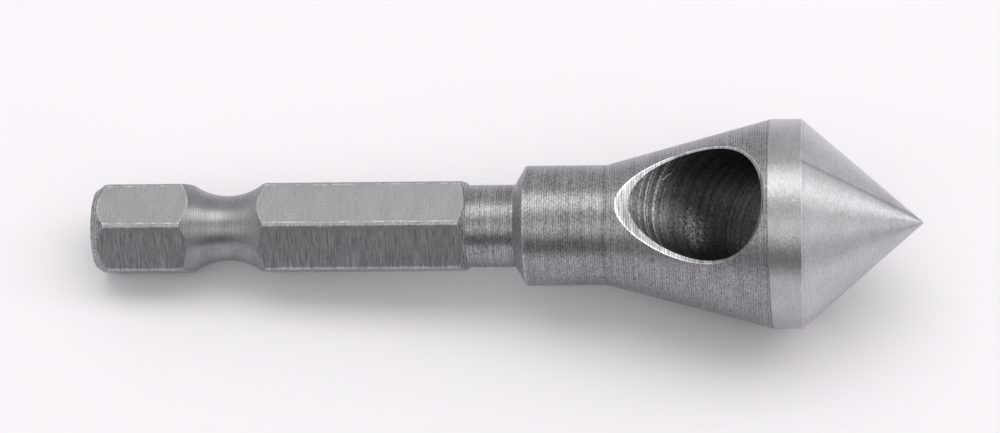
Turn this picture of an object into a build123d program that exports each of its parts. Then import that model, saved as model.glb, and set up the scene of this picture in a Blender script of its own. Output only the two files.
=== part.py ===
from build123d import *
import math
import os

# A countersink bit with one slanting cross hole, all in one piece of tool steel. It is turned
# from hexagon bar, its head is ground after turning, and the hole is bored last.
# Lengths are in millimetres and angles in degrees. While it is made, the tool axis is X:
# the shank's end face is at x = 0, the point is at the far end, and two flats of the shank
# face up and down. At the end it is laid down as it rests, on a flat and the head's rim.

# Hexagonal shank, with its corners turned down to narrow round lands
HEX_SIDES = 6
HEX_ACROSS_FLATS = 6.35
HEX_LENGTH = 27.0
CORNER_TURNED_OFF = 0.066
END_FACE_INSIDE_FLATS = 0.3
END_CHAMFER_ANGLE = 35.0

# Round groove that the balls of a quick-change chuck drop into
GROOVE_FROM_END = 9.7
GROOVE_DEPTH_BELOW_FLATS = 0.805
GROOVE_PROFILE_RADIUS = 4.4

# Round neck, just under the flats, and the collar that the head grows from
NECK_BELOW_FLATS = 0.175
NECK_LENGTH = 3.4
HEX_RUN_OUT_ANGLE = 50.0
SHOULDER_ANGLE = 59.0
COLLAR_DIAMETER = 8.72
COLLAR_LENGTH = 5.85

# Head: a back taper, a narrow band at the full diameter, and the cutting cone. The band and
# the cone are ground off centre, towards the hole's outlet, so that its edge stands highest.
HEAD_DIAMETER = 15.16
TAPER_ANGLE = 15.0
BAND_WIDTH = 2.1
CONE_ANGLE = 82.0
POINT_DIAMETER = 0.15
HEAD_OFF_CENTRE = 0.06

# Cross hole: it enters through the back taper and leaves through the cone, inside the band.
# It passes the tool axis at one side. Its turn is from a flat of the shank.
HOLE_DIAMETER = 8.26
HOLE_ANGLE = 42.2
HOLE_BEHIND_CONE = 1.13
HOLE_OFF_CENTRE = 0.3
HOLE_TURN = 12.7

# Bevel round the hole's rear rim. It starts at one depth down the wall all the way round, so
# it is widest where the taper lies flattest to the hole.
BEVEL_DEPTH = 0.3
BEVEL_ANGLE = 42.0

# How far cutters reach past the metal that they take away
CUTTER_REACH = 2.0


def axial_length(radial_step, angle_to_axis):
    """Length along the axis of a slope that climbs radial_step at angle_to_axis."""
    return radial_step / math.tan(math.radians(angle_to_axis))


# Radii
half_flats = HEX_ACROSS_FLATS / 2
shank_radius = half_flats / math.cos(math.pi / HEX_SIDES) - CORNER_TURNED_OFF
end_face_radius = half_flats - END_FACE_INSIDE_FLATS
groove_radius = half_flats - GROOVE_DEPTH_BELOW_FLATS
neck_radius = half_flats - NECK_BELOW_FLATS
collar_radius = COLLAR_DIAMETER / 2
head_radius = HEAD_DIAMETER / 2
point_radius = POINT_DIAMETER / 2
hole_radius = HOLE_DIAMETER / 2

# Stations along the tool axis, from the shank's end face
neck_start = HEX_LENGTH + axial_length(shank_radius - neck_radius, HEX_RUN_OUT_ANGLE)
neck_end = neck_start + NECK_LENGTH
collar_start = neck_end + axial_length(collar_radius - neck_radius, SHOULDER_ANGLE)
taper_start = collar_start + COLLAR_LENGTH
band_start = taper_start + axial_length(head_radius - collar_radius, TAPER_ANGLE)
cone_start = band_start + BAND_WIDTH
point_end = cone_start + axial_length(head_radius - point_radius, CONE_ANGLE / 2)
hole_crossing = cone_start - HOLE_BEHIND_CONE

# Frame that the hole is bored in, with its X along the bore and out through the cone
head_turn = Rot(HOLE_TURN, 0, 0)
hole_frame = Pos(hole_crossing, 0, 0) * head_turn * Pos(0, -HOLE_OFF_CENTRE, 0) * Rot(0, HOLE_ANGLE, 0)
out_at_rear = -Plane(hole_frame).x_dir
towards_outlet = -Plane(head_turn).z_dir


def turned(points):
    """Solid turned about the tool axis from an outline of (station, radius) points."""
    return revolve(make_face(Polyline(*points, close=True)), Axis.X)


def turned_blank():
    """The bar as it leaves the lathe, with its head over size."""
    rough_radius = head_radius + CUTTER_REACH
    return turned([
        (0, 0),
        (0, end_face_radius),
        (axial_length(shank_radius - end_face_radius, END_CHAMFER_ANGLE), shank_radius),
        (HEX_LENGTH, shank_radius),
        (neck_start, neck_radius),
        (neck_end, neck_radius),
        (collar_start, collar_radius),
        (taper_start, collar_radius),
        (taper_start + axial_length(rough_radius - collar_radius, TAPER_ANGLE), rough_radius),
        (point_end, rough_radius),
        (point_end, 0),
    ])


def outside_the_hexagon():
    """What the shank lacks of a round bar: a ring with a hexagonal hole, ending over the neck."""
    ring = Circle(shank_radius + CUTTER_REACH) - RegularPolygon(half_flats, HEX_SIDES, major_radius=False)
    length = CUTTER_REACH + neck_start + NECK_LENGTH / 2
    return Pos(-CUTTER_REACH, 0, 0) * extrude(Plane.YZ * ring, length)


def chuck_groove():
    """Ring that the groove's round-nosed tool sweeps out."""
    ring = Torus(groove_radius + GROOVE_PROFILE_RADIUS, GROOVE_PROFILE_RADIUS)
    return Pos(GROOVE_FROM_END, 0, 0) * Rot(0, 90, 0) * ring


def ground_envelope():
    """Space inside the band and the cone as ground. It clears the rest of the bit."""
    return Pos(towards_outlet * HEAD_OFF_CENTRE) * turned([
        (-CUTTER_REACH, 0),
        (-CUTTER_REACH, head_radius),
        (cone_start, head_radius),
        (point_end, point_radius),
        (point_end, 0),
    ])


def cross_hole():
    """The hole's cutter, long enough to pass right through the head."""
    return hole_frame * Cylinder(hole_radius, point_end, rotation=(0, 90, 0))


def rim_on_taper():
    """The hole's rear rim, on the taper as it would be if it ran on past both of its ends."""
    apex = taper_start - axial_length(collar_radius, TAPER_ANGLE)
    far_radius = (point_end - apex) * math.tan(math.radians(TAPER_ANGLE))
    whole_taper = turned([(apex, 0), (point_end, far_radius), (point_end, 0)])
    rims = new_edges(whole_taper, cross_hole(), combined=whole_taper - cross_hole())
    return rims.sort_by(Axis.X)[0]


def rim_bevel():
    """Wedge swept round the rear rim, its face at BEVEL_ANGLE to the hole's axis."""
    rim = rim_on_taper()
    start = rim @ 0
    from_frame = start - hole_frame.position
    off_axis = (from_frame - out_at_rear * from_frame.dot(out_at_rear)).normalized()

    def corner(sideways, along):
        return start + off_axis * sideways + out_at_rear * along

    def face_height(sideways):
        return axial_length(sideways, BEVEL_ANGLE) - BEVEL_DEPTH

    wedge = make_face(Polyline(
        corner(-BEVEL_DEPTH, face_height(-BEVEL_DEPTH)),
        corner(CUTTER_REACH, face_height(CUTTER_REACH)),
        corner(-BEVEL_DEPTH, face_height(CUTTER_REACH)),
        close=True,
    ))
    upright = rim.moved(Pos(out_at_rear * hole_radius))
    return sweep(wedge, path=rim, binormal=upright)


def laid_down(bit):
    """The bit at rest on Z = 0, where its shank's flat and its head's rim both touch."""
    low_radius = head_radius - towards_outlet.Z * HEAD_OFF_CENTRE
    rim_station = taper_start + axial_length(low_radius - collar_radius, TAPER_ANGLE)
    flat_station = axial_length(half_flats - end_face_radius, END_CHAMFER_ANGLE)
    tilt = math.degrees(math.atan2(low_radius - half_flats, rim_station - flat_station))
    tilted = Rot(0, -tilt, 0) * bit
    box = tilted.bounding_box()
    return Pos(-box.center().X, -box.center().Y, -box.min.Z) * tilted


def make_bit():
    """The whole bit, with the tool axis along X."""
    blank = (turned_blank() - outside_the_hexagon() - chuck_groove()) & ground_envelope()
    return blank - cross_hole() - rim_bevel()


if __name__ == "__main__":
    os.makedirs("parts", exist_ok=True)
    export_step(laid_down(make_bit()), "parts/countersink_bit.step")
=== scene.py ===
"""A countersink bit with a slanting cross hole, in one piece of tool steel, on a pale studio floor."""

import math

import bpy
import numpy as np
from bpy.props import FloatProperty, FloatVectorProperty, IntProperty, PointerProperty
from bpy.types import Operator, Panel, PropertyGroup
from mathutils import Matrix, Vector


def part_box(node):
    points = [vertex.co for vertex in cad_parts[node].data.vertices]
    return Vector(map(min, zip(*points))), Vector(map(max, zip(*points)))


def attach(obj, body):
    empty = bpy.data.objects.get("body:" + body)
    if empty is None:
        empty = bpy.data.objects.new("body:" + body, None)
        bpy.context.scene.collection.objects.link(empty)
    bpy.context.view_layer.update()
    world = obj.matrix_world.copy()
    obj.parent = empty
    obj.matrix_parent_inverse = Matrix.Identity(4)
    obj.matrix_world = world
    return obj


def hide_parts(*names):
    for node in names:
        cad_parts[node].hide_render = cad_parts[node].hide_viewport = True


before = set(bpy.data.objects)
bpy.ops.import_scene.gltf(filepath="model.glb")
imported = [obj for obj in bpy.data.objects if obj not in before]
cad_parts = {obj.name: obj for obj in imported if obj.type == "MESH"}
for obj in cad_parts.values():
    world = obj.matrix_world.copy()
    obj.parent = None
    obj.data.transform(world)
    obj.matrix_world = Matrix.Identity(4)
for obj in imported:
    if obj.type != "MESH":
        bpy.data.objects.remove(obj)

bl_info = {
    "name": "Countersink Bit",
    "version": (1, 0, 0),
    "blender": (4, 5, 0),
    "location": "3D View > Sidebar > Countersink Bit",
    "description": "Builds the finished surface of a countersink bit and the studio that it is shown in",
    "category": "Object",
}

MM = 0.001
FULL_TURN = 2 * math.pi
CORNER_TURN = FULL_TURN / 6
CAD_NODE = "countersink_bit"
BIT_NAME = "bit_of_tool_steel"
UV_NAME = "turn_and_station"
FINISHES = ("end_face", "turned", "hexagon_flat", "ground_band", "ground_cone", "bored", "bevel")

# The marks on the steel, in the tool's frame and in millimetres. The tool axis is x, from the end face.
# From one ring of the turning tool to the next
FEED = 0.1715
# Stations over which the turning grows rougher along the shank, and fades behind the end face
ROUGH_FADES_IN = (12.5, 26.0)
ROUGH_END = (0.5, 1.5)
# Heights over which the upper flat gives way to the flats beside it
BELOW_TOP_FLAT = (2.9, 2.5)
# Lines round the turned parts, where cuts meet: station, half width and brightness. The bright one at the
# collar's edge is a painted highlight, and the other two are darker lines at the taper's two ends
TURNED_LINES_AND_HIGHLIGHT = ((31.76, 0.03, 1.45), (37.55, 0.05, 0.75), (49.35, 0.06, 0.86))
# A painted highlight along the edge between the band and the cone, and the stations over which the cone is
# painted lighter than the band, for the brighter light that it reflects
CONE_EDGE_HIGHLIGHT = 51.73
CONE_PAINTED_LIGHT = (51.7, 52.0)
# A painted dark reflection down the cone, a straight line given as its two ends, and a short nick in the hole's
# wall
CONE_DARK_REFLECTION = ((51.8, 0.26, 7.5), (60.2, 0.2, 0.2))
NICK = ((41.77, 1.31, 3.84), (42.27, 1.73, 3.98))
# Small pits, and the brightness of each
NECK_PIT = ((29.45, -2.85, 0.95), 0.35)
CHAMFER_PIT = ((0.22, -2.65, 1.47), 0.3)
CONE_PIT = ((55.08, -2.21, 4.07), 0.5)
# Bright specks on the upper flat: station and side
SPECKS = ((17.26, 1.53), (16.66, 0.74), (15.76, 0.14), (19.47, 0.42), (20.79, 1.28), (20.88, 0.10),
          (21.73, 1.41), (24.52, 0.07))
# Rings that the boring tool left near the hole's rear end: depth, half width and brightness
BORED_LINES = ((-10.3, 0.02, 0.9), (-9.76, 0.03, 1.5), (-9.5, 0.02, 1.7), (-8.97, 0.06, 2.0),
               (-8.28, 0.02, 1.1), (-7.7, 0.02, 0.6))
# A painted highlight patch on the hole's wall, and the wider part that light from the rear opening reaches
WALL_HIGHLIGHT_PATCH = (44.0, -0.9, 0.3)
LIT_WALL = (42.8, -1.3, 1.2)
# Stations over which that light fades
LIGHT_FADES = (40.3, 43.2)

# Least angle from the mesh's seam to a corner of the hexagon
CLEAR_OF_SEAM = 0.1


def length_of(name, description, millimetres):
    """A length, from its default in millimetres."""
    return FloatProperty(name=name, description=description, default=millimetres * MM, unit="LENGTH")


def angle_of(name, description, degrees):
    """An angle, from its default in degrees."""
    return FloatProperty(name=name, description=description, default=math.radians(degrees), subtype="ANGLE")


def roughness_of(name, description, default):
    """A roughness from 0 to 1."""
    return FloatProperty(name=name, description=description, default=default, min=0, max=1, subtype="FACTOR")


def brightness_of(name, description, default):
    """A brightness with no upper limit."""
    return FloatProperty(name=name, description=description, default=default, min=0, subtype="FACTOR")


def colour_of(name, description, default):
    """A colour in linear red, green and blue."""
    return FloatVectorProperty(name=name, description=description, default=default, size=3, min=0, max=1,
                               subtype="COLOR")


class ShankSizes(PropertyGroup):
    """Sizes of the hexagonal shank, its groove and its neck."""

    across_flats: length_of("Across flats", "Width of the hexagon across two flats", 6.35)
    hex_length: length_of("Hexagon length", "From the end face to where the corners stop", 27)
    corner_turned_off: length_of("Corner turned off", "Metal turned off each sharp corner", 0.066)
    end_face_inset: length_of("End face inset", "From a flat in to the end face's edge", 0.3)
    end_chamfer: angle_of("End chamfer", "Chamfer's angle to the tool axis", 35)
    groove_from_end: length_of("Groove from end", "From the end face to the groove's middle", 9.7)
    groove_depth: length_of("Groove depth", "Depth of the groove below the flats", 0.805)
    groove_profile: length_of("Groove profile", "Radius of the groove's round bottom", 4.4)
    neck_depth: length_of("Neck depth", "Depth of the neck below the flats", 0.175)
    neck_length: length_of("Neck length", "Length of the neck", 3.4)
    run_out: angle_of("Run-out", "Angle at which the corners end", 50)


class HeadSizes(PropertyGroup):
    """Sizes of the collar, the back taper, the band and the cutting cone."""

    shoulder: angle_of("Shoulder", "Shoulder's angle to the tool axis", 59)
    collar_diameter: length_of("Collar diameter", "Diameter of the collar", 8.72)
    collar_length: length_of("Collar length", "Length of the collar", 5.85)
    diameter: length_of("Head diameter", "Diameter of the band", 15.16)
    taper: angle_of("Back taper", "Back taper's angle to the tool axis", 15)
    band_width: length_of("Band width", "Width of the band", 2.1)
    cone: angle_of("Cone angle", "Whole angle of the cutting cone", 82)
    point_diameter: length_of("Point diameter", "Flat left at the point", 0.15)
    off_centre: length_of("Ground off centre", "How far the band and cone stand to the outlet's side", 0.06)


class HoleSizes(PropertyGroup):
    """Sizes of the slanting cross hole and of the bevel round its rear rim."""

    diameter: length_of("Hole diameter", "Diameter of the cross hole", 8.26)
    slant: angle_of("Slant", "Hole's angle to the tool axis", 42.2)
    behind_cone: length_of("Behind the cone", "From the cone's start back to where it passes the axis", 1.13)
    off_centre: length_of("Off centre", "How far to one side the hole passes the axis", 0.3)
    turn: angle_of("Turn", "Hole's turn from a flat of the shank", 12.7)
    bevel_depth: length_of("Bevel depth", "How far down the wall the bevel starts, on average", 0.347)
    bevel_swing: length_of("Bevel swing", "How much deeper it starts on its deepest side", 0.154)
    bevel_deepest: angle_of("Deepest side", "Turn of the bevel's deepest side", 170.5)
    bevel_angle: angle_of("Bevel angle", "Bevel's angle to the hole's axis, on average", 60.9)
    bevel_lean: angle_of("Bevel lean", "How much flatter the bevel lies on its flattest side", 19.3)
    bevel_flattest: angle_of("Flattest side", "Turn of the bevel's flattest side", 83.4)


class SteelLooks(PropertyGroup):
    """Colour and polish of the steel."""

    steel: colour_of("Steel", "Colour of the bare tool steel", (0.4, 0.4, 0.41))
    turned_roughness: roughness_of("Turned roughness", "Roughness of the turned parts", 0.4)
    ground_roughness: roughness_of("Ground roughness", "Roughness of the ground band and cone", 0.32)
    flat_roughness: roughness_of("Flat roughness", "Roughness of the hexagon's flats", 0.3)


class StageLooks(PropertyGroup):
    """The floor, the lamps and the camera."""

    floor: colour_of("Floor", "Colour of the floor", (0.82, 0.801, 0.825))
    wall: brightness_of("Studio wall", "Brightness of the pale studio wall", 0.8)
    dark_side: brightness_of("Dark side", "Brightness of the unlit room in front", 0.14)
    overhead: brightness_of("Overhead lamp", "Brightness of the long soft lamp overhead", 1.6)
    front: brightness_of("Front lamp", "Brightness of the soft lamp round the camera", 0.52)
    view_width: angle_of("View width", "Angle that the camera takes in", 16.8)
    view_distance: length_of("View distance", "From the camera to the tool axis", 246.65)
    view_elevation: angle_of("View elevation", "How steeply the camera looks down", 56.1)
    view_turn: angle_of("View turn", "How far the camera is turned from square on", 2.88)
    view_station: length_of("View station", "Point of the tool axis in the middle of the view", 29.735)
    view_rise: length_of("View rise", "How far above that point the camera looks", 0.69)


class MeshSizes(PropertyGroup):
    """How finely the surface is divided."""

    opening_steps: IntProperty(
        name="Opening steps", description="Columns from end to end of an opening", default=140, min=24
    )
    column_step: angle_of("Column step", "Angle between columns beside the openings", 0.8)
    soft_edge: length_of("Soft edge", "Width of the strip along each outer edge", 0.035)


class BitShape:
    """Radii, stations and directions of the bit, worked out from its sizes.

    The tool axis is X, the shank's end face is at station 0, and angles round the axis run from +Y to +Z.
    """

    def __init__(self, shank, head, hole):
        self.half_flats = shank.across_flats / 2
        self.shank_radius = self.half_flats / math.cos(CORNER_TURN / 2) - shank.corner_turned_off
        self.face_radius = self.half_flats - shank.end_face_inset
        self.neck_radius = self.half_flats - shank.neck_depth
        self.collar_radius = head.collar_diameter / 2
        self.head_radius = head.diameter / 2
        self.point_radius = head.point_diameter / 2
        self.chamfer, self.run_out = shank.end_chamfer, shank.run_out
        self.shoulder, self.taper, self.cone = head.shoulder, head.taper, head.cone / 2

        self.groove_middle, self.groove_profile = shank.groove_from_end, shank.groove_profile
        self.groove_centre_radius = self.half_flats - shank.groove_depth + shank.groove_profile
        self.hex_end = shank.hex_length
        self.neck_start = self.hex_end + (self.shank_radius - self.neck_radius) / math.tan(self.run_out)
        self.neck_end = self.neck_start + shank.neck_length
        self.collar_start = self.neck_end + (self.collar_radius - self.neck_radius) / math.tan(self.shoulder)
        self.taper_start = self.collar_start + head.collar_length
        band_start = self.taper_start + (self.head_radius - self.collar_radius) / math.tan(self.taper)
        self.cone_start = band_start + head.band_width
        self.point_end = self.cone_start + (self.head_radius - self.point_radius) / math.tan(self.cone)
        self.taper_apex = self.taper_start - self.collar_radius / math.tan(self.taper)
        self.cone_apex = self.point_end + self.point_radius / math.tan(self.cone)

        self.rear_angle = math.pi / 2 + hole.turn
        self.outlet_angle = self.rear_angle - math.pi
        self.head_centre = head.off_centre * unit(self.outlet_angle)
        self.hole_radius = hole.diameter / 2
        along, upwards = np.array([1.0, 0.0, 0.0]), unit(self.rear_angle)
        self.bore = math.cos(hole.slant) * along - math.sin(hole.slant) * upwards
        self.bore_side = unit(hole.turn)
        self.bore_up = math.sin(hole.slant) * along + math.cos(hole.slant) * upwards
        self.bore_origin = (self.cone_start - hole.behind_cone) * along - hole.off_centre * self.bore_side
        self.bevel = hole

        low_radius = self.head_radius + math.cos(hole.turn) * head.off_centre
        rim_station = self.taper_start + (low_radius - self.collar_radius) / math.tan(self.taper)
        self.flat_station = (self.half_flats - self.face_radius) / math.tan(self.chamfer)
        self.tilt = math.atan2(low_radius - self.half_flats, rim_station - self.flat_station)

    def rest_place(self):
        """Where the middle of the end face stands when the bit's box has its bottom centre at (0, 0, 0).

        The box runs along X from the end face's upper edge to the point's lower edge, and along Y it is the
        head's width. Its bottom is the edge of the lower flat at the end's chamfer.
        """
        upper, lower, bottom = laid_down(np.array([
            (0.0, 0.0, self.face_radius),
            (self.point_end, 0.0, self.head_centre[2] - self.point_radius),
            (self.flat_station, 0.0, -self.half_flats),
        ]), self.tilt)
        return np.array([-(upper[0] + lower[0]) / 2, -self.head_centre[1], -bottom[2]])

    def hexagon(self, angle):
        """Radius of the shank: half_flats / cos(angle from the flat's middle), or shank_radius if less."""
        from_middle = np.mod(angle, CORNER_TURN) - CORNER_TURN / 2
        return np.minimum(self.half_flats / np.cos(from_middle), self.shank_radius)

    def land_half_angle(self):
        """Half the angle that a corner's round land takes up."""
        return CORNER_TURN / 2 - math.acos(self.half_flats / self.shank_radius)

    def bore_radial(self, turn):
        """cos(turn) * bore_side + sin(turn) * bore_up: straight out from the hole's axis."""
        turn = np.asarray(turn)[..., None]
        return np.cos(turn) * self.bore_side + np.sin(turn) * self.bore_up

    def wall(self, turn, depth):
        """Point of the hole's wall: bore_origin + hole_radius * radial(turn) + depth * bore."""
        depth = np.asarray(depth)[..., None]
        return self.bore_origin + self.hole_radius * self.bore_radial(turn) + depth * self.bore

    def rear_rim_depth(self, turn):
        """Depth at which the wall's line at this turn comes out through the taper."""
        start = self.wall(turn, np.zeros_like(turn))
        return meet_cone(start, self.bore, self.taper_apex, math.tan(self.taper))[0]

    def outlet_depth(self, turn):
        """Depth at which the wall's line at this turn comes out through the cone."""
        start = self.wall(turn, np.zeros_like(turn)) - self.head_centre
        return meet_cone(start, self.bore, self.cone_apex, math.tan(self.cone))[1]

    def outlet_line(self, turn):
        """The hole's edge on the cone."""
        return self.wall(turn, self.outlet_depth(turn))

    def bevel_lines(self, turn):
        """Outer line of the bevel, on the taper, and depth of its inner line, on the wall.

        The inner line is bevel_depth + bevel_swing * cos(turn - bevel_deepest) below the rim. From there the
        bevel runs straight out along sin(angle) * radial - cos(angle) * bore until it meets the taper, where
        angle = bevel_angle + bevel_lean * cos(turn - bevel_flattest).
        """
        bevel = self.bevel
        below = bevel.bevel_depth + bevel.bevel_swing * np.cos(turn - bevel.bevel_deepest)
        angle = (bevel.bevel_angle + bevel.bevel_lean * np.cos(turn - bevel.bevel_flattest))[..., None]
        depth = self.rear_rim_depth(turn) + below
        inner = self.wall(turn, depth)
        out = np.sin(angle) * self.bore_radial(turn) - np.cos(angle) * self.bore
        near, far = meet_cone(inner, out, self.taper_apex, math.tan(self.taper))
        return inner + np.where(near > 0, near, far)[..., None] * out, depth


def unit(angle):
    """(0, cos angle, sin angle): straight out from the tool axis."""
    angle = np.asarray(angle, float)
    return np.stack([np.zeros_like(angle), np.cos(angle), np.sin(angle)], axis=-1)


def around_axis(station, radius, angle, centre=0.0):
    """Points (station, 0, 0) + radius * unit(angle), about an axis that may stand off centre."""
    station, radius, angle = np.broadcast_arrays(station, radius, angle)
    points = radius[..., None] * unit(angle) + centre
    points[..., 0] += station
    return points


def slope_normal(slope, angle):
    """(-sin slope, cos slope * unit(angle)): square to a surface whose radius grows at the slope."""
    slope, angle = np.broadcast_arrays(slope, angle)
    normals = np.cos(slope)[..., None] * unit(angle)
    normals[..., 0] = -np.sin(slope)
    return normals


def meet_cone(start, direction, apex, slope):
    """The two distances at which start + t * direction is on the cone y^2 + z^2 = slope^2 (x - apex)^2."""
    x, y, z = start[..., 0] - apex, start[..., 1], start[..., 2]
    dx, dy, dz = direction[..., 0], direction[..., 1], direction[..., 2]
    a = dy * dy + dz * dz - slope * slope * dx * dx
    half_b = y * dy + z * dz - slope * slope * x * dx
    c = y * y + z * z - slope * slope * x * x
    root = np.sqrt(half_b * half_b - a * c)
    first, second = (-half_b - root) / a, (-half_b + root) / a
    return np.minimum(first, second), np.maximum(first, second)


def polar(points, centre, middle):
    """Angle of the points round the centre line, within half a turn of the middle angle."""
    angle = np.arctan2(points[..., 2] - centre[2], points[..., 1] - centre[1])
    return middle + np.mod(angle - middle + math.pi, FULL_TURN) - math.pi


def blend(first, second, steps):
    """Rows at even shares of the way from the first to the second."""
    first, second = np.broadcast_arrays(first, second)
    share = np.linspace(0, 1, steps + 1).reshape((-1,) + (1,) * first.ndim)
    return (1 - share) * first + share * second


def laid_down(points, tilt):
    """Turned about Y by the tilt: (x cos - z sin, y, x sin + z cos)."""
    x, y, z = points[..., 0], points[..., 1], points[..., 2]
    cos, sin = math.cos(tilt), math.sin(tilt)
    return np.stack([x * cos - z * sin, y, x * sin + z * cos], axis=-1)


def closed_ring(rear, front):
    """Along the rear side and back along the front side, ending where it began."""
    return np.concatenate([rear, front[-2::-1]])


class Opening:
    """One end of the hole, as two sides that run between the least and the greatest angle of its outline."""

    SAMPLES = 20000
    END_SPREAD = 0.3

    def __init__(self, outline, centre, middle, steps):
        self.outline, self.centre, self.middle = outline, centre, middle
        turn = np.linspace(0, FULL_TURN, self.SAMPLES, endpoint=False)
        angle = self.angle_at(turn)
        first, last = turn[angle.argmin()], turn[angle.argmax()]
        share = np.linspace(0, 1, steps + 1)
        spread = (1 - self.END_SPREAD) * (1 - np.cos(math.pi * share)) / 2 + self.END_SPREAD * share
        self.angles = angle.min() + spread * (angle.max() - angle.min())
        ways = []
        for sense in (1, -1):
            swept = np.mod(sense * (last - first), FULL_TURN)
            way = first + sense * swept * np.linspace(0, 1, self.SAMPLES)
            turns = np.interp(self.angles, self.angle_at(way), way)
            turns[0], turns[-1] = way[0], way[-1]
            ways.append(turns)
        self.rear, self.front = sorted(ways, key=lambda turns: outline(turns)[:, 0].mean())

    def angle_at(self, turn):
        """Angle round the centre line of the outline's point at this turn."""
        return polar(self.outline(turn), self.centre, self.middle)

    def ring_turns(self):
        """Turns along the rear side and back along the front side, closed and unbroken."""
        return np.unwrap(closed_ring(self.rear, self.front))


class Skin:
    """Rows of points and the quads between them, gathered into one closed mesh."""

    def __init__(self, length):
        self.length = length
        self.count = 0
        self.points, self.patches, self.discs = [], [], []

    def loose(self, points):
        """Takes in points that belong to no row, and returns their numbers."""
        numbers = self.count + np.arange(len(points))
        self.points.append(points)
        self.count += len(points)
        return numbers

    def row(self, points):
        """Takes in a row that closes on itself, and returns the numbers of its points."""
        numbers = self.loose(points[:-1])
        return np.append(numbers, numbers[0])

    def between(self, start, points, end):
        """Numbers of a patch's rows: the start row's, new ones for those between, and the end row's."""
        return [start] + [self.row(line) for line in points[1:-1]] + [end]

    def lay(self, rows, normals, angle, station, finish):
        """Quads between neighbouring rows of numbers. Their UV is (angle / full turn, station / length)."""
        def corners(grid):
            grid = np.stack([grid[:-1, :-1], grid[:-1, 1:], grid[1:, 1:], grid[1:, :-1]], axis=2)
            return grid.reshape((-1, 4) + grid.shape[3:])

        uvs = np.stack(np.broadcast_arrays(angle / FULL_TURN, np.asarray(station) / self.length), axis=-1)
        quads = corners(np.asarray(rows))
        kinds = np.full(len(quads), FINISHES.index(finish))
        self.patches.append((quads, corners(np.asarray(normals)), corners(uvs), kinds))

    def disc(self, ring, normal, finish):
        """A flat face inside a ring."""
        self.discs.append((ring[:-1], normal, finish))

    def faces(self):
        """All the quads, each facing the way that its normals point, with normals, UVs and finishes."""
        points = np.concatenate(self.points)
        quads, normals, uvs, kinds = (np.concatenate(grids) for grids in zip(*self.patches))
        at = points[quads]
        facing = np.cross(at[:, 2] - at[:, 0], at[:, 3] - at[:, 1])
        inward = (facing * normals.sum(axis=1)).sum(axis=1) < 0
        for grid in (quads, normals, uvs):
            grid[inward] = grid[inward][:, ::-1]
        return points, quads, normals, uvs, kinds


def head_columns(rear, outlet, column_step):
    """Angles of the columns: those of both openings, and even steps in the three gaps between them."""
    start = (rear.angles[-1] + outlet.angles[0] + FULL_TURN) / 2 - FULL_TURN

    def gap(low, high):
        return np.linspace(low, high, max(2, round((high - low) / column_step)) + 1)

    before = gap(start, outlet.angles[0])[:-1]
    between = gap(outlet.angles[-1], rear.angles[0])[1:-1]
    after = gap(rear.angles[-1], start + FULL_TURN)[1:]
    rear_first = len(before) + len(outlet.angles) + len(between)
    return np.concatenate([before, outlet.angles, between, rear.angles, after]), rear_first, len(before)


def shank_columns(shape, angles, soft_edge):
    """Angles of the columns on the shank, with four of them at the edges of each corner's land.

    Between those the columns are evenly spaced. Also returns the angle that each column's normal points at:
    the flat's middle on a flat, and its own angle on a land.
    """
    half_land = shape.land_half_angle()
    half_strip = soft_edge / shape.shank_radius / 2
    corners = np.arange(-6, 7) * CORNER_TURN
    corners = corners[(corners > angles[0] + CLEAR_OF_SEAM) & (corners < angles[-1] - CLEAR_OF_SEAM)]
    fixed_columns, fixed_angles = [0], [angles[0]]
    for corner in corners:
        for edge, columns_back in ((corner - half_land, 1), (corner + half_land, 0)):
            column = int(np.searchsorted(angles, edge)) - columns_back
            fixed_columns += [column, column + 1]
            fixed_angles += [edge - half_strip, edge + half_strip]
    fixed_columns.append(len(angles) - 1)
    fixed_angles.append(angles[-1])
    columns = np.interp(np.arange(len(angles)), fixed_columns, fixed_angles)
    from_corner = np.mod(columns + CORNER_TURN / 2, CORNER_TURN) - CORNER_TURN / 2
    flat_middle = columns - np.mod(columns, CORNER_TURN) + CORNER_TURN / 2
    return columns, np.where(np.abs(from_corner) < half_land, columns, flat_middle)


class ConeSurface:
    """A cone whose radius is (station - apex) * tan(slope), about an axis that may stand off centre."""

    def __init__(self, apex, slope, centre, finish):
        self.apex, self.slope, self.centre, self.finish = apex, slope, centre, finish

    def points(self, angle, station):
        return around_axis(station, (station - self.apex) * math.tan(self.slope), angle, self.centre)

    def normals(self, angle):
        return slope_normal(self.slope, angle)


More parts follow.
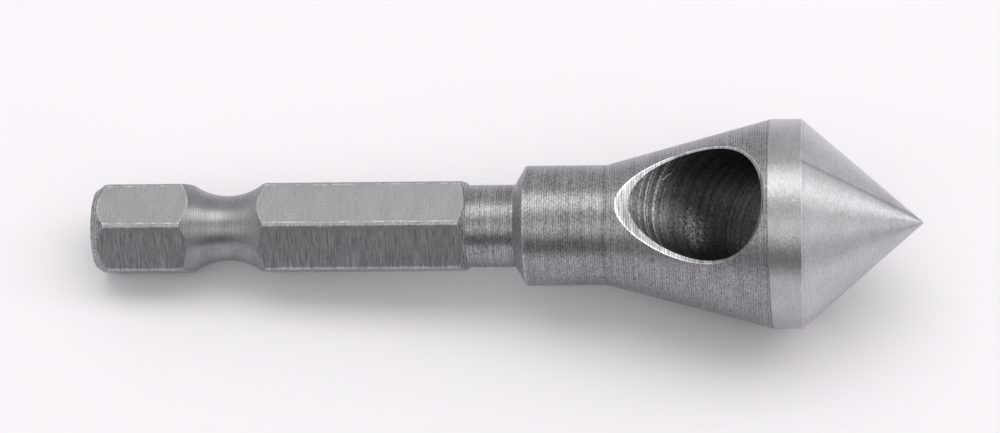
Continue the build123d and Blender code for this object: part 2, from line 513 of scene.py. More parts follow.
class SkinMaker:
    """Lays the bit's surface, patch by patch, from the shank's end face to the point.

    A line is a (station, radius) pair, which may differ from column to column.
    """

    GROOVE_ROWS = 28
    BEVEL_ROWS = 2
    WALL_ROWS = 28
    # Rows before and after the middle of an opening
    TAPER_ROWS = (12, 8)
    CONE_ROWS = (10, 14)

    def __init__(self, shape, mesh_sizes):
        self.shape = shape
        self.soft = mesh_sizes.soft_edge / 2
        steps = mesh_sizes.opening_steps
        self.rear = Opening(lambda turn: shape.bevel_lines(turn)[0], np.zeros(3), shape.rear_angle, steps)
        self.outlet = Opening(shape.outlet_line, shape.head_centre, shape.outlet_angle, steps)
        self.angles, self.rear_first, self.outlet_first = head_columns(
            self.rear, self.outlet, mesh_sizes.column_step
        )
        self.shank_angles, self.facing = shank_columns(shape, self.angles, mesh_sizes.soft_edge)
        self.skin = Skin(shape.point_end)

    def make(self):
        """Lays everything and returns the skin."""
        row = self.lay_neck(self.lay_shank())
        row, band_station, rear_ring = self.lay_taper(row)
        outlet_ring = self.lay_head(row, band_station)
        self.lay_hole(rear_ring, outlet_ring)
        return self.skin

    def ruled(self, row, first, second, angle, normals, finish, steps=1, centre=0.0):
        """Lays straight lines from the row on the first line to the second line. Returns the last row."""
        station = blend(first[0] + 0 * angle, second[0], steps)
        radius = blend(first[1] + 0 * angle, second[1], steps)
        points = around_axis(station, radius, angle, centre)
        rows = [row] + [self.skin.row(line) for line in points[1:]]
        self.skin.lay(rows, np.broadcast_to(normals, points.shape), angle, station, finish)
        return rows[-1]

    def strip(self, row, before, line, angle, normals, finish, centre=0.0):
        """A narrow strip that rounds an edge: its normals go from one surface's to the other's.

        It runs from the row at the station before to the line.
        """
        last = self.skin.row(around_axis(line[0], line[1], angle, centre))
        self.skin.lay([row, last], normals, angle, [before + 0 * angle, line[0] + 0 * angle], finish)
        return last

    def lay_shank(self):
        """End face, chamfer, hexagon and groove. Returns the row where the neck starts."""
        shape, angle, soft = self.shape, self.shank_angles, self.soft
        hexagon = shape.hexagon(angle)
        flat_normals = unit(self.facing)
        chamfer_normals = slope_normal(shape.chamfer, angle)
        end_normals = np.broadcast_to([-1.0, 0.0, 0.0], flat_normals.shape)

        row = self.skin.row(around_axis(0.0, shape.face_radius - soft, angle))
        self.skin.disc(row, (-1.0, 0.0, 0.0), "end_face")
        low = (soft * math.cos(shape.chamfer), shape.face_radius + soft * math.sin(shape.chamfer))
        row = self.strip(row, 0.0, low, angle, [end_normals, chamfer_normals], "end_face")

        meet = (hexagon - shape.face_radius) / math.tan(shape.chamfer)
        high = (meet - soft * math.cos(shape.chamfer), hexagon - soft * math.sin(shape.chamfer))
        row = self.ruled(row, low, high, angle, chamfer_normals, "turned")
        flat_line = (meet + soft, hexagon)
        row = self.strip(row, high[0], flat_line, angle, [chamfer_normals, flat_normals], "turned")

        reach = np.sqrt(shape.groove_profile ** 2 - (shape.groove_centre_radius - hexagon) ** 2)
        groove_line = (shape.groove_middle - reach - soft, hexagon)
        after_groove = (shape.groove_middle + reach + soft, hexagon)
        row = self.ruled(row, flat_line, groove_line, angle, flat_normals, "hexagon_flat", steps=3)
        row = self.lay_groove(row, groove_line[0], reach - soft, after_groove, angle, flat_normals)

        meet = shape.hex_end + (shape.shank_radius - hexagon) / math.tan(shape.run_out)
        end_line = (meet - soft, hexagon)
        row = self.ruled(row, after_groove, end_line, angle, flat_normals, "hexagon_flat", steps=5)
        run_out_normals = slope_normal(-shape.run_out, angle)
        below = (meet + soft * math.cos(shape.run_out), hexagon - soft * math.sin(shape.run_out))
        row = self.strip(row, end_line[0], below, angle, [flat_normals, run_out_normals], "turned")
        return self.ruled(row, below, (shape.neck_start, shape.neck_radius), angle, run_out_normals, "turned")

    def lay_groove(self, row, before, reach, after, angle, flat_normals):
        """The groove: radius = centre radius - sqrt(profile^2 - (station - middle)^2), with rounded edges."""
        shape = self.shape
        along = np.linspace(-1, 1, self.GROOVE_ROWS + 1)[:, None] * reach
        station = shape.groove_middle + along
        radius = shape.groove_centre_radius - np.sqrt(shape.groove_profile ** 2 - along ** 2)
        normals = slope_normal(np.arcsin(along / shape.groove_profile), angle)
        first_line = (station[0], radius[0])
        row = self.strip(row, before, first_line, angle, [flat_normals, normals[0]], "turned")
        rows = [row] + [self.skin.row(line) for line in around_axis(station, radius, angle)[1:]]
        self.skin.lay(rows, normals, angle, station, "turned")
        return self.strip(rows[-1], station[-1], after, angle, [normals[-1], flat_normals], "turned")

    def lay_neck(self, row):
        """Neck, shoulder and collar, to the row where the taper starts."""
        shape, angle, soft = self.shape, self.angles, self.soft
        neck = (shape.neck_start, shape.neck_radius)
        neck_end = (shape.neck_end, shape.neck_radius)
        around = self.shank_angles
        row = self.ruled(row, neck, neck_end, around, slope_normal(0.0, around), "turned", steps=2)
        straight = slope_normal(0.0, angle)
        shoulder_normals = slope_normal(shape.shoulder, angle)
        top = (shape.collar_start - soft * math.cos(shape.shoulder),
               shape.collar_radius - soft * math.sin(shape.shoulder))
        row = self.ruled(row, neck_end, top, angle, shoulder_normals, "turned", steps=2)
        collar = (shape.collar_start + soft, shape.collar_radius)
        row = self.strip(row, top[0], collar, angle, [shoulder_normals, straight], "turned")
        collar_end = (shape.taper_start, shape.collar_radius)
        return self.ruled(row, collar, collar_end, angle, straight, "turned", steps=2)

    def around_opening(self, opening, first, start, end, surface, rows):
        """Lays the surface from a start row to an end row, with an opening in it whose first column is given.

        start and end are (numbers, angles, stations). The middle row passes the opening's two ends. Within
        the opening it splits into a rear side and a front side. Returns the numbers all round the opening.
        """
        columns = self.angles
        last = first + len(opening.angles) - 1
        inside, within = slice(first, last + 1), slice(first + 1, last)
        ends = opening.outline(opening.rear)[[0, -1], 0]
        past = np.mod(columns - columns[last], FULL_TURN)
        outside = ends[1] + (ends[0] - ends[1]) * past / (FULL_TURN - (columns[last] - columns[first]))
        sides = []
        for turns in (opening.rear, opening.front):
            angle, station = columns.copy(), outside.copy()
            angle[inside] = opening.angle_at(turns)
            station[inside] = opening.outline(turns)[:, 0]
            sides.append((angle, station))
        (rear_angle, rear_station), (front_angle, front_station) = sides

        rear_row = self.skin.row(surface.points(rear_angle, rear_station))
        front_row = rear_row.copy()
        front_row[within] = self.skin.loose(surface.points(front_angle[within], front_station[within]))
        self.lay_between(start, (rear_row, rear_angle, rear_station), surface, rows[0])
        self.lay_between((front_row, front_angle, front_station), end, surface, rows[1])
        return closed_ring(rear_row[inside], front_row[inside])

    def lay_between(self, start, end, surface, steps):
        """Rows at even shares of the way, in angle and station, from one row to another."""
        angle, station = blend(start[1], end[1], steps), blend(start[2], end[2], steps)
        rows = self.skin.between(start[0], surface.points(angle, station), end[0])
        self.skin.lay(rows, surface.normals(angle), angle, station, surface.finish)

    def lay_taper(self, row):
        """The back taper, with the hole's rear opening in it, and the soft edge where the ground band starts.

        The band stands off centre, so the edge is where a circle round the head's centre meets the taper.
        """
        shape, angle, soft = self.shape, self.angles, self.soft
        rim = around_axis(0.0, shape.head_radius, angle, shape.head_centre)
        edge_station = shape.taper_apex + np.hypot(rim[:, 1], rim[:, 2]) / math.tan(shape.taper)
        edge_angle = np.unwrap(np.arctan2(rim[:, 2], rim[:, 1]))
        edge_angle += FULL_TURN * round((angle[0] - edge_angle[0]) / FULL_TURN)
        before_edge = edge_station - soft * math.cos(shape.taper)
        band_station = edge_station + soft
        surface = ConeSurface(shape.taper_apex, shape.taper, 0.0, "turned")
        start = (row, angle, shape.taper_start + 0 * angle)
        edge_row = self.skin.row(surface.points(edge_angle, before_edge))
        end = (edge_row, edge_angle, before_edge)
        ring = self.around_opening(self.rear, self.rear_first, start, end, surface, self.TAPER_ROWS)
        normals = [surface.normals(edge_angle), slope_normal(0.0, angle)]
        band_line = (band_station, shape.head_radius)
        row = self.strip(edge_row, before_edge, band_line, angle, normals, "ground_band", shape.head_centre)
        return row, band_station, ring

    def lay_head(self, row, band_station):
        """The ground band and the cutting cone, with the hole's outlet in it, to the point."""
        shape, angle, soft, centre = self.shape, self.angles, self.soft, self.shape.head_centre
        straight = slope_normal(0.0, angle)
        band_line, band_end = (band_station, shape.head_radius), (shape.cone_start - soft, shape.head_radius)
        row = self.ruled(row, band_line, band_end, angle, straight, "ground_band", steps=2, centre=centre)
        surface = ConeSurface(shape.cone_apex, -shape.cone, centre, "ground_cone")
        cone_line = (shape.cone_start + soft * math.cos(shape.cone),
                     shape.head_radius - soft * math.sin(shape.cone))
        normals = [straight, surface.normals(angle)]
        row = self.strip(row, band_end[0], cone_line, angle, normals, "ground_cone", centre)
        start = (row, angle, cone_line[0] + 0 * angle)
        point_station = shape.point_end + 0 * angle
        point_row = self.skin.row(surface.points(angle, point_station))
        end = (point_row, angle, point_station)
        ring = self.around_opening(self.outlet, self.outlet_first, start, end, surface, self.CONE_ROWS)
        self.skin.disc(point_row, (1.0, 0.0, 0.0), "ground_cone")
        return ring

    def lay_hole(self, rear_ring, outlet_ring):
        """The bevel from its outer line to its inner line, and the wall from there to the outlet's edge.

        The wall's points are wall(turn, depth), with turn and depth in even shares from ring to ring.
        """
        shape = self.shape
        turns = self.rear.ring_turns()
        outer, inner_depth = shape.bevel_lines(turns)
        inner = shape.wall(turns, inner_depth)
        points = blend(outer, inner, self.BEVEL_ROWS)
        inner_ring = self.skin.row(inner)
        rows = self.skin.between(rear_ring, points, inner_ring)
        past_ends = np.concatenate([points[:, -2:-1], points, points[:, 1:2]], axis=1)
        normals = np.cross(np.gradient(past_ends, axis=1)[:, 1:-1], outer - inner)
        normals /= np.linalg.norm(normals, axis=-1, keepdims=True)
        outward = (normals * shape.bore_radial(turns)).sum(axis=-1, keepdims=True) > 0
        across = blend(0 * turns, shape.bevel.bevel_depth, self.BEVEL_ROWS)
        self.skin.lay(rows, np.where(outward, -normals, normals), turns, across, "bevel")

        end_turns, end_ring = self.matched(self.outlet.ring_turns(), outlet_ring, turns)
        turn = blend(turns, end_turns, self.WALL_ROWS)
        depth = blend(inner_depth, shape.outlet_depth(end_turns), self.WALL_ROWS)
        rows = self.skin.between(inner_ring, shape.wall(turn, depth), end_ring)
        self.skin.lay(rows, -shape.bore_radial(turn), turn, depth, "bored")

    def matched(self, turns, ring, goal):
        """A closed ring and its turns, run the same way as the goal's turns and begun nearest to them."""
        turns, ring = turns[:-1], ring[:-1]
        if (turns[-1] - turns[0]) * (goal[-1] - goal[0]) < 0:
            turns, ring = turns[::-1], ring[::-1]
        away = np.abs(np.mod(turns - goal[0] + math.pi, FULL_TURN) - math.pi)
        turns, ring = np.roll(turns, -away.argmin()), np.roll(ring, -away.argmin())
        turns = np.unwrap(np.append(turns, turns[0]))
        turns += FULL_TURN * round((goal[0] - turns[0]) / FULL_TURN)
        return turns, np.append(ring, ring[0])


def skin_mesh(skin, tilt):
    """The skin as a mesh in its place: tilted, then moved until its bottom centre is the CAD part's.

    Also returns that last move.
    """
    points, quads, normals, uvs, kinds = skin.faces()
    points, normals = laid_down(points, tilt), laid_down(normals, tilt)
    least, most = points.min(axis=0), points.max(axis=0)
    low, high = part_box(CAD_NODE)
    shift = np.array([
        (low.x + high.x) / 2 - (least[0] + most[0]) / 2,
        (low.y + high.y) / 2 - (least[1] + most[1]) / 2,
        low.z - least[2],
    ])
    points = points + shift
    faces = quads.tolist()
    loop_normals, loop_uvs, finishes = [normals.reshape(-1, 3)], [uvs.reshape(-1, 2)], [kinds]
    for ring, normal, finish in skin.discs:
        flat = laid_down(np.array([normal]), tilt)
        facing = np.cross(points[ring], np.roll(points[ring], -1, axis=0)).sum(axis=0)
        faces.append((ring if facing @ flat[0] > 0 else ring[::-1]).tolist())
        loop_normals.append(np.repeat(flat, len(ring), axis=0))
        loop_uvs.append(np.zeros((len(ring), 2)))
        finishes.append([FINISHES.index(finish)])

    mesh = bpy.data.meshes.new(BIT_NAME)
    mesh.from_pydata(points.tolist(), [], faces)
    mesh.polygons.foreach_set("material_index", np.concatenate(finishes).astype(np.int32))
    mesh.shade_smooth()
    layer = mesh.uv_layers.new(name=UV_NAME)
    layer.uv.foreach_set("vector", np.concatenate(loop_uvs).astype(np.float32).ravel())
    mesh.normals_split_custom_set(np.concatenate(loop_normals).tolist())
    mesh.update()
    return mesh, shift


class Value:
    """What a node gives out. A sum that is written with it adds the nodes that work it out."""

    def __init__(self, nodes, socket):
        self.nodes, self.socket = nodes, socket

    def __add__(self, other):
        return self.nodes.maths("ADD", self, other)

    def __sub__(self, other):
        return self.nodes.maths("SUBTRACT", self, other)

    def __mul__(self, other):
        return self.nodes.maths("MULTIPLY", self, other)

    def __truediv__(self, other):
        return self.nodes.maths("DIVIDE", self, other)

    def __abs__(self):
        return self.nodes.maths("ABSOLUTE", self)

    __radd__ = __add__


class Nodes:
    """The nodes of a material or a world, which starts out empty."""

    MEASURES = ("LENGTH", "DISTANCE", "DOT_PRODUCT")

    def __init__(self, owner):
        owner.use_nodes = True
        self.tree = owner.node_tree
        self.tree.nodes.clear()

    def node(self, kind, settings=None, **sockets):
        """Adds a node. Each socket, by its name or by its number as in s0, is set or joined to a value."""
        node = self.tree.nodes.new(kind)
        for name, value in (settings or {}).items():
            setattr(node, name, value)
        for name, value in sockets.items():
            numbered = name[0] == "s" and name[1:].isdigit()
            socket = node.inputs[int(name[1:]) if numbered else name.replace("_", " ")]
            if isinstance(value, Value):
                self.tree.links.new(value.socket, socket)
            else:
                socket.default_value = value
        return node

    def add(self, kind, settings=None, output=0, **sockets):
        """Adds a node and returns one of its outputs."""
        return Value(self, self.node(kind, settings, **sockets).outputs[output])

    def maths(self, operation, first, second=0.5, clamp=False):
        """One sum with numbers."""
        return self.add("ShaderNodeMath", {"operation": operation, "use_clamp": clamp}, s0=first, s1=second)

    def vector(self, operation, first, second=(0, 0, 0)):
        """One sum with vectors. A measure gives a number, and the others a vector."""
        output = "Value" if operation in self.MEASURES else "Vector"
        return self.add("ShaderNodeVectorMath", {"operation": operation}, output, s0=first, s1=second)

    def scaled(self, vector, scale):
        """The vector times a number."""
        return self.add("ShaderNodeVectorMath", {"operation": "SCALE"}, s0=vector, Scale=scale)

    def parts(self, vector):
        """The three numbers in a vector."""
        return [Value(self, output) for output in self.node("ShaderNodeSeparateXYZ", Vector=vector).outputs]

    def joined(self, x=0.0, y=0.0, z=0.0):
        """A vector of three numbers."""
        return self.add("ShaderNodeCombineXYZ", X=x, Y=y, Z=z)

    def ramp(self, value, low, high, to_low=0.0, to_high=1.0, kind="SMOOTHSTEP"):
        """Values from low to high become to_low to to_high."""
        settings = {"interpolation_type": kind, "clamp": True}
        return self.add("ShaderNodeMapRange", settings, s0=value, s1=low, s2=high, s3=to_low, s4=to_high)

    def pattern(self, place, detail, rough):
        """Noise at a place, with grains about 1 long."""
        return self.add("ShaderNodeTexNoise", {"noise_dimensions": "3D"}, Vector=place, Scale=1.0,
                        Detail=detail, Roughness=rough)


class SteelNodes(Nodes):
    """The nodes of one finish. Its patterns are worked out in the tool's own frame, in millimetres.

    tool is the place in that frame, x is its station, and y and z are square to the tool axis.
    """

    # Highlights are drawn out across the marks, a quarter turn from the tangent
    ACROSS = 0.25

    def __init__(self, name, shape, shift):
        self.material = bpy.data.materials.new(name)
        super().__init__(self.material)
        self.length = shape.point_end / MM
        grown = self.scaled(self.add("ShaderNodeTexCoord", output="Object"), 1 / MM)
        back = -laid_down(shift, -shape.tilt) / MM
        self.tool = self.add("ShaderNodeMapping", {"vector_type": "POINT"}, Vector=grown,
                             Rotation=(0, shape.tilt, 0), Location=tuple(back))
        self.x, self.y, self.z = self.parts(self.tool)
        self.fray = self.noise((9, 9, 9))

    def radius(self):
        """Distance from the tool axis: sqrt(y^2 + z^2)."""
        return self.vector("LENGTH", self.joined(y=self.y, z=self.z))

    def depth(self):
        """How far the mesh's UV lies along the hole or across the bevel: V * length."""
        along = self.add("ShaderNodeUVMap", {"uv_map": UV_NAME})
        return self.parts(along)[1] * self.length

    def noise(self, stretch, detail=2.0, rough=0.5):
        """Noise whose grains are 1 / stretch long along each axis of the tool."""
        return self.pattern(self.vector("MULTIPLY", self.tool, stretch), detail, rough)

    def tint(self, mask, level):
        """1 where the mask is 0, going to the level where it is 1."""
        return self.ramp(mask, 0, 1, 1.0, level)

    def band(self, value, middle, half, blur):
        """1 where the value is within half of the middle, falling to 0 over the blur."""
        return self.ramp(abs(value - middle), half, half + blur, 1.0, 0.0)

    def spot(self, place, radius, ragged):
        """1 inside a ragged round mark, falling to 0 at its edge."""
        away = self.vector("DISTANCE", self.tool, place) + self.fray * ragged
        return self.ramp(away, radius * 0.6, radius * 1.2 + ragged * 0.5, 1.0, 0.0)

    def scratch(self, start, end, half, blur):
        """1 within half of the straight line from start to end, falling to 0 over the blur."""
        run = np.array(end) - np.array(start)
        along = run / (run @ run)
        share = self.vector("DOT_PRODUCT", self.tool, tuple(along))
        share = self.maths("SUBTRACT", share, float(along @ np.array(start)), clamp=True)
        nearest = self.vector("ADD", self.scaled(tuple(run), share), start)
        return self.ramp(self.vector("DISTANCE", self.tool, nearest), half, half + blur, 1.0, 0.0)

    def shade(self, colour, roughness, height, bump, anisotropy=0.0):
        """Metal that looks bumpy, as if its height were bump millimetres times a value. Returns the material."""
        normal = self.add("ShaderNodeBump", Strength=1.0, Distance=bump * MM, Height=height)
        drawn_out = {}
        if anisotropy:
            tangent = self.add("ShaderNodeTangent", {"direction_type": "UV_MAP", "uv_map": UV_NAME})
            drawn_out = {"Anisotropic": anisotropy, "Anisotropic_Rotation": self.ACROSS, "Tangent": tangent}
        metal = self.add("ShaderNodeBsdfPrincipled", Metallic=1.0, Base_Color=colour, Roughness=roughness,
                         Normal=normal, **drawn_out)
        self.node("ShaderNodeOutputMaterial", Surface=metal)
        return self.material


class SteelMaker:
    """Makes the steel's finishes, in which brightness is a share of the bare steel's colour."""

    def __init__(self, looks, shape, shift):
        self.looks, self.shape, self.shift = looks, shape, shift

    def start(self, name):
        return SteelNodes(name, self.shape, self.shift)

    def corner_distance(self, steel):
        """Distance round the shank from the nearest corner: radius * |angle to it|."""
        sector = steel.maths("ARCTAN2", steel.z, steel.y) / CORNER_TURN
        return abs(sector - steel.maths("ROUND", sector)) * (self.shape.shank_radius / MM * CORNER_TURN)

    def cut_edge(self, steel):
        """Distance to the nearest of the end's chamfer, the groove and the run-out."""
        shape, radius = self.shape, steel.radius()

        def from_slope(station, at_radius, slope):
            """|(radius - at_radius) * cos(slope) - (x - station) * sin(slope)|"""
            out, along = radius - at_radius / MM, steel.x - station / MM
            return abs(out * math.cos(slope) - along * math.sin(slope))

        chamfer = from_slope(0.0, shape.face_radius, shape.chamfer)
        run_out = from_slope(shape.hex_end, shape.shank_radius, -shape.run_out)
        middle = (shape.groove_middle / MM, shape.groove_centre_radius / MM, 0)
        from_middle = steel.vector("DISTANCE", steel.joined(steel.x, radius), middle)
        groove = abs(from_middle - shape.groove_profile / MM)
        return steel.maths("MINIMUM", steel.maths("MINIMUM", chamfer, run_out), groove)

    def metal(self, steel, bright, *looks):
        """The finished material, with the steel's colour times its brightness."""
        return steel.shade(steel.scaled(tuple(self.looks.steel), bright), *looks)

    def end_face(self):
        """The faced end, with rings about its middle."""
        steel = self.start("end_face_steel")
        rings = steel.pattern(steel.joined(steel.radius() * 9.0), 3, 0.6)
        grain = steel.noise((6, 6, 6), detail=3)
        bright = steel.ramp(rings, 0.3, 0.7, 0.85, 1.15) * steel.ramp(grain, 0.25, 0.75, 0.85, 1.15) * 0.8
        return self.metal(steel, bright, 0.35, rings, 0.008)

    def turned(self):
        """Fine rings of the turning tool, grain, lines where cuts meet, a painted highlight at the collar's
        edge, and pits.
        """
        steel = self.start("turned_steel")
        wander = steel.noise((0.5, 0.25, 0.25))
        feed = steel.maths("SINE", (steel.x / FEED + wander) * FULL_TURN)
        rings = steel.noise((7, 0.15, 0.15), detail=3, rough=0.7)
        grain = steel.noise((9, 5, 5), detail=3, rough=0.75)
        patches = steel.noise((0.9, 0.5, 0.5), detail=4)
        along = steel.ramp(steel.x, *ROUGH_FADES_IN, 0.35, 1.0)
        rough_cut = along + steel.ramp(steel.x, *ROUGH_END, 1.0, 0.0)
        cut = rough_cut * (feed * 0.17 + ((grain - 0.5) * 2.6 + (rings - 0.5) * 1.2))
        bright = (cut + 1.0) * steel.ramp(patches, 0.3, 0.7, 0.92, 1.08)
        # A painted highlight along the collar's edge, and darker lines at the taper's two ends
        for station, half, level in TURNED_LINES_AND_HIGHLIGHT:
            bright *= steel.tint(steel.band(steel.x, station, half, 2 * half), level)
        for place, level in (NECK_PIT, CHAMFER_PIT):
            bright *= steel.tint(steel.spot(place, radius=0.12, ragged=0.08), level)
        return self.metal(steel, bright * 0.71, self.looks.turned_roughness, rings + grain * 0.6, 0.025, 0.8)

    def hexagon_flat(self):
        """Cross-wise marks of grinding, bright specks, and painted highlights along the edges of each corner's
        mottled land.
        """
        steel = self.start("hexagon_flat_steel")
        marks = steel.noise((9, 0.7, 0.7), detail=4, rough=0.7)
        fine = steel.noise((11, 6, 6), detail=3, rough=0.7)
        patches = steel.noise((0.8, 0.4, 0.4), detail=3)
        mottle = steel.noise((7, 7, 7), detail=4, rough=0.7)
        broken = steel.noise((1.6, 1.6, 1.6), detail=3, rough=0.7)
        side_flats = steel.ramp(steel.z, *BELOW_TOP_FLAT)
        deep = (marks - 0.5) * steel.ramp(side_flats, 0, 1, 0.45, 2.3)
        soft = (fine - 0.5) * steel.ramp(side_flats, 0, 1, 0.8, 0.9)
        corner = self.corner_distance(steel) + mottle * 0.025
        land = steel.ramp(corner, 0.15, 0.19, 1.0, 0.0) * steel.ramp(mottle, 0.3, 0.7, -0.3, 0.4)
        # Painted highlight along both edges of each corner's land
        edge_highlight = steel.band(corner, 0.185, half=0.015, blur=0.05) * steel.ramp(broken, 0.4, 0.62)
        rim = steel.ramp(self.cut_edge(steel), 0.02, 0.09, 1.0, 0.0) * steel.ramp(broken, 0.3, 0.55)
        top = self.shape.half_flats / MM
        specks = sum(steel.spot((station, side, top), radius=0.05, ragged=0.05) for station, side in SPECKS)
        bright = (deep + soft + 1.0) * steel.ramp(patches, 0.3, 0.7, 0.96, 1.04) * (land + 1.0)
        bright = bright * steel.tint(edge_highlight, 1.6) * steel.tint(rim, 1.4) * steel.tint(specks, 1.8)
        return self.metal(steel, bright * 0.85, self.looks.flat_roughness, marks + fine * 0.4, 0.004, 0.4)

    def ground(self, name):
        """Bright ground steel that draws each highlight out along the axis, with fine marks round it."""
        steel = self.start(name)
        marks = steel.noise((9, 1.6, 1.6), detail=3, rough=0.65)
        grain = steel.noise((9, 7, 7), detail=3, rough=0.75)
        patches = steel.noise((0.8, 0.5, 0.5), detail=3)
        pit, pit_level = CONE_PIT
        bright = (
            # The cone painted lighter than the band, for the brighter light that it reflects
            steel.tint(steel.ramp(steel.x, *CONE_PAINTED_LIGHT), 1.22)
            * steel.ramp(marks, 0.25, 0.75, 0.92, 1.08)
            * steel.ramp(grain, 0.25, 0.75, 0.84, 1.16)
            * steel.ramp(patches, 0.3, 0.7, 0.95, 1.05)
            # A painted dark reflection, a straight line down the cone
            * steel.tint(steel.scratch(*CONE_DARK_REFLECTION, half=0.02, blur=0.26), 0.74)
            # Painted highlight along the edge between the band and the cone
            * steel.tint(steel.band(steel.x, CONE_EDGE_HIGHLIGHT, half=0.03, blur=0.06), 1.3)
            * steel.tint(steel.spot(pit, radius=0.1, ragged=0.1), pit_level)
        )
        return self.metal(steel, bright * 1.1, self.looks.ground_roughness, marks + grain * 0.5, 0.035, 1.0)

    def bored(self):
        """The hole's wall: ring marks of the boring tool, a painted highlight patch, and painted light brightest
        where the bore starts.
        """
        steel = self.start("bored_steel")
        depth = steel.depth()
        wobble = steel.noise((0.35, 0.35, 0.35))
        rings = steel.pattern(steel.joined(depth * 2.6 + wobble), 4, 0.6)
        grain = steel.noise((5, 5, 5), detail=4, rough=0.75)
        drawn = depth + wobble * 0.25
        cuts = sum(steel.band(drawn, place, half, 0.07) * level for place, half, level in BORED_LINES)
        # A painted highlight patch, mottled by the grain
        highlight_patch = steel.spot(WALL_HIGHLIGHT_PATCH, radius=1.7, ragged=1.2) * steel.ramp(grain, 0.42, 0.7, 0.5, 3.2)
        bright = (
            steel.tint(steel.scratch(*NICK, half=0.03, blur=0.05), 6.0)
            * steel.ramp(rings, 0.3, 0.75, 0.55, 1.45)
            * steel.ramp(grain, 0.25, 0.75, 0.4, 1.6)
            * (cuts * steel.ramp(grain, 0.35, 0.55, 0.5, 1.0) + highlight_patch + 1.0)
            * steel.tint(steel.spot(LIT_WALL, radius=2.5, ragged=1.0), 2.1)
            * steel.ramp(steel.x, *LIGHT_FADES, 1.2, 0.5)
        )
        return self.metal(steel, bright * 0.6, 0.42, rings + grain * 0.2, 0.03, 0.6)

    def bevel(self):
        """Bright bevel, striped by the rings of the taper that it cuts through, with a painted highlight along
        its outer edge.
        """
        steel = self.start("bevel_steel")
        stripes = steel.noise((5, 0.6, 0.6), detail=3, rough=0.6)
        feed = steel.maths("SINE", steel.x * (FULL_TURN / FEED))
        grain = steel.noise((8, 8, 8), detail=3, rough=0.7)
        bright = (
            steel.ramp(stripes, 0.3, 0.7, 0.65, 1.35)
            * steel.ramp(feed, -1, 1, 0.72, 1.28, "LINEAR")
            * steel.ramp(grain, 0.25, 0.75, 0.75, 1.25)
            # Painted highlight along the bevel's outer edge
            * steel.ramp(steel.depth(), 0.03, 0.1, 1.9, 1.0)
        )
        return self.metal(steel, bright * 0.95, 0.4, stripes, 0.015)

    def all(self):
        """One material for each finish, in the order of FINISHES."""
        ground = [self.ground("ground_band_steel"), self.ground("ground_cone_steel")]
        return [self.end_face(), self.turned(), self.hexagon_flat(), *ground, self.bored(), self.bevel()]


class BIT_OT_build(Operator):
    """Build the whole bit as one closed surface of tool steel"""

    bl_idname = "countersink_bit.build"
    bl_label = "Build the Bit"

    def execute(self, context):
        scene = context.scene
        shape = BitShape(scene.bit_shank, scene.bit_head, scene.bit_hole)
        mesh, shift = skin_mesh(SkinMaker(shape, scene.bit_mesh).make(), shape.tilt)
        if len(mesh.polygons) == 0:
            raise RuntimeError("the bit's surface came out empty")
        for material in SteelMaker(scene.bit_steel, shape, shift).all():
            mesh.materials.append(material)
        bit = bpy.data.objects.new(BIT_NAME, mesh)
        scene.collection.objects.link(bit)
        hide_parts(CAD_NODE)
        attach(bit, "root")
        return {"FINISHED"}


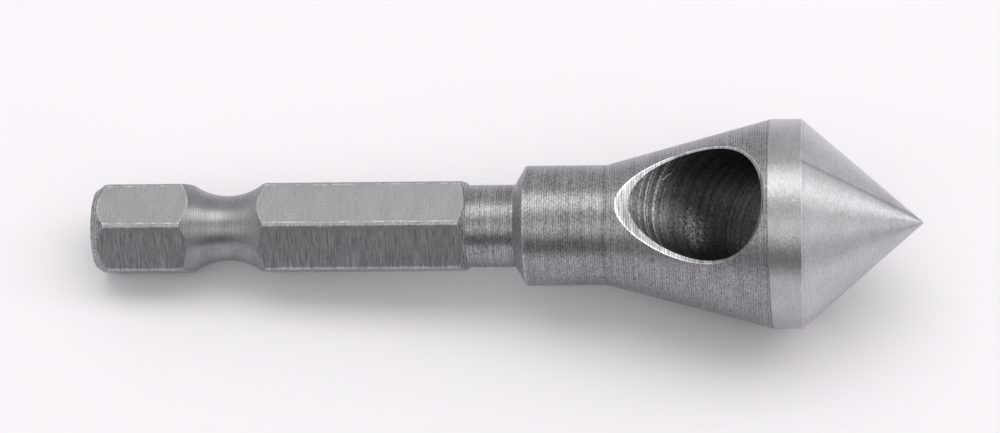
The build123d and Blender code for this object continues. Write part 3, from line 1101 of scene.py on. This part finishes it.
class StageMaker:
    """Makes the floor, the studio's light and the camera. Lengths are in metres."""

    FLOOR_RADIUS = 3.0
    FLOOR_CORNERS = 96
    LAMP_DISTANCE = 0.6
    # Name, elevation and azimuth in degrees, shift along X, width, height, and the brightness's property
    LAMPS = (
        ("overhead_lamp", 77, 0, 0.55, 1.9, 0.34, "overhead"),
        ("front_lamp", 52, 180, 0.0, 2.4, 0.22, "front"),
    )
    WALL_TINT = (1.0, 0.985, 1.0, 1.0)
    # The dark side's middle, how it is stretched, and the cosines at which it starts and is whole
    DARK_MIDDLE = (0.0, -0.99, 0.12)
    DARK_STRETCH = (0.62, 1.0, 1.0)
    DARK_EDGE = (0.84, 0.93)

    def __init__(self, scene):
        self.scene = scene
        self.looks = scene.bit_stage

    def floor(self):
        """A disc at Z = 0: (R cos a, R sin a, 0)."""
        angle = np.linspace(0, FULL_TURN, self.FLOOR_CORNERS, endpoint=False)
        points = self.FLOOR_RADIUS * np.stack([np.cos(angle), np.sin(angle), 0 * angle], axis=-1)
        mesh = bpy.data.meshes.new("floor")
        mesh.from_pydata(points.tolist(), [], [list(range(len(points)))])
        material = bpy.data.materials.new("floor_paper")
        nodes = Nodes(material)
        paper = nodes.add("ShaderNodeBsdfDiffuse", Color=tuple(self.looks.floor) + (1,))
        nodes.node("ShaderNodeOutputMaterial", Surface=paper)
        mesh.materials.append(material)
        floor = bpy.data.objects.new("floor", mesh)
        self.scene.collection.objects.link(floor)

    def room(self):
        """A pale wall all round, and a dark side low in front. The camera sees the wall everywhere."""
        world = bpy.data.worlds.new("studio")
        self.scene.world = world
        nodes = Nodes(world)
        way = nodes.vector("MULTIPLY", nodes.add("ShaderNodeTexCoord", output="Generated"), self.DARK_STRETCH)
        cosine = nodes.vector("DOT_PRODUCT", nodes.vector("NORMALIZE", way), self.DARK_MIDDLE)
        lit = nodes.ramp(cosine, *self.DARK_EDGE, self.looks.wall, self.looks.dark_side)
        seen = nodes.add("ShaderNodeLightPath", output="Is Camera Ray")
        strength = nodes.add("ShaderNodeMix", {"data_type": "FLOAT"}, s0=seen, s2=lit, s3=self.looks.wall)
        background = nodes.add("ShaderNodeBackground", Color=self.WALL_TINT, Strength=strength)
        nodes.node("ShaderNodeOutputWorld", Surface=background)

    def lamp(self, name, elevation, azimuth, sideways, width, height, brightness):
        """A soft rectangular lamp that faces the tool axis. Its power is pi * area * brightness."""
        data = bpy.data.lights.new(name, "AREA")
        data.shape = "RECTANGLE"
        data.size, data.size_y = width, height
        data.energy = math.pi * width * height * brightness
        lamp = bpy.data.objects.new(name, data)
        way = Vector((math.sin(azimuth) * math.cos(elevation), math.cos(azimuth) * math.cos(elevation),
                      math.sin(elevation)))
        lamp.location = way * self.LAMP_DISTANCE + Vector((sideways, 0, 0))
        lamp.rotation_mode = "QUATERNION"
        lamp.rotation_quaternion = way.to_track_quat("Z", "Y")
        lamp.visible_camera = False
        self.scene.collection.objects.link(lamp)

    def lamps(self):
        """Every lamp in the list."""
        for name, elevation, azimuth, *place, key in self.LAMPS:
            self.lamp(name, math.radians(elevation), math.radians(azimuth), *place, getattr(self.looks, key))

    def camera(self, tilt, rest):
        """Looks at the view station's point of the tilted tool axis, from the view distance."""
        looks = self.looks
        elevation, turn = looks.view_elevation, looks.view_turn
        forward = Vector((-math.sin(turn) * math.cos(elevation), math.cos(turn) * math.cos(elevation),
                          -math.sin(elevation)))
        right = Vector((math.cos(turn), math.sin(turn), 0))
        up = right.cross(forward)
        aimed = looks.view_station * Vector((math.cos(tilt), 0, math.sin(tilt))) + Vector(rest)
        data = bpy.data.cameras.new("camera")
        data.sensor_width = 36
        data.lens = data.sensor_width / 2 / math.tan(looks.view_width / 2)
        data.clip_start, data.clip_end = 0.01, 10
        camera = bpy.data.objects.new("camera", data)
        camera.location = aimed - forward * looks.view_distance + up * looks.view_rise
        camera.rotation_mode = "QUATERNION"
        camera.rotation_quaternion = (-forward).to_track_quat("Z", "Y")
        self.scene.collection.objects.link(camera)
        self.scene.camera = camera


class BIT_OT_stage(Operator):
    """Lay the floor and set up the soft studio light and the camera"""

    bl_idname = "countersink_bit.stage"
    bl_label = "Set the Stage"

    def execute(self, context):
        scene = context.scene
        if bpy.data.objects.get(BIT_NAME) is None:
            raise RuntimeError("build the bit before the stage")
        shape = BitShape(scene.bit_shank, scene.bit_head, scene.bit_hole)
        stage = StageMaker(scene)
        stage.floor()
        stage.room()
        stage.lamps()
        stage.camera(shape.tilt, shape.rest_place())
        scene.view_settings.view_transform = "Standard"
        return {"FINISHED"}


class BIT_PT_panel(Panel):
    """Lists the bit's operators and sizes"""

    bl_idname = "BIT_PT_panel"
    bl_label = "Countersink Bit"
    bl_space_type = "VIEW_3D"
    bl_region_type = "UI"
    bl_category = "Countersink Bit"

    def draw(self, context):
        layout = self.layout
        layout.operator(BIT_OT_build.bl_idname)
        layout.operator(BIT_OT_stage.bl_idname)
        for name in GROUPS:
            group = getattr(context.scene, name)
            box = layout.box()
            box.label(text=type(group).__doc__.split(".")[0])
            for key in type(group).__annotations__:
                box.prop(group, key)


GROUPS = {
    "bit_shank": ShankSizes,
    "bit_head": HeadSizes,
    "bit_hole": HoleSizes,
    "bit_steel": SteelLooks,
    "bit_stage": StageLooks,
    "bit_mesh": MeshSizes,
}
OPERATORS_AND_PANELS = (BIT_OT_build, BIT_OT_stage, BIT_PT_panel)


def register():
    for name, group in GROUPS.items():
        bpy.utils.register_class(group)
        setattr(bpy.types.Scene, name, PointerProperty(type=group))
    for kind in OPERATORS_AND_PANELS:
        bpy.utils.register_class(kind)


def unregister():
    for kind in reversed(OPERATORS_AND_PANELS):
        bpy.utils.unregister_class(kind)
    for name, group in GROUPS.items():
        delattr(bpy.types.Scene, name)
        bpy.utils.unregister_class(group)


def main():
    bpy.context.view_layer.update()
    register()
    bpy.ops.countersink_bit.build()
    bpy.ops.countersink_bit.stage()


if __name__ == "__main__":
    main()
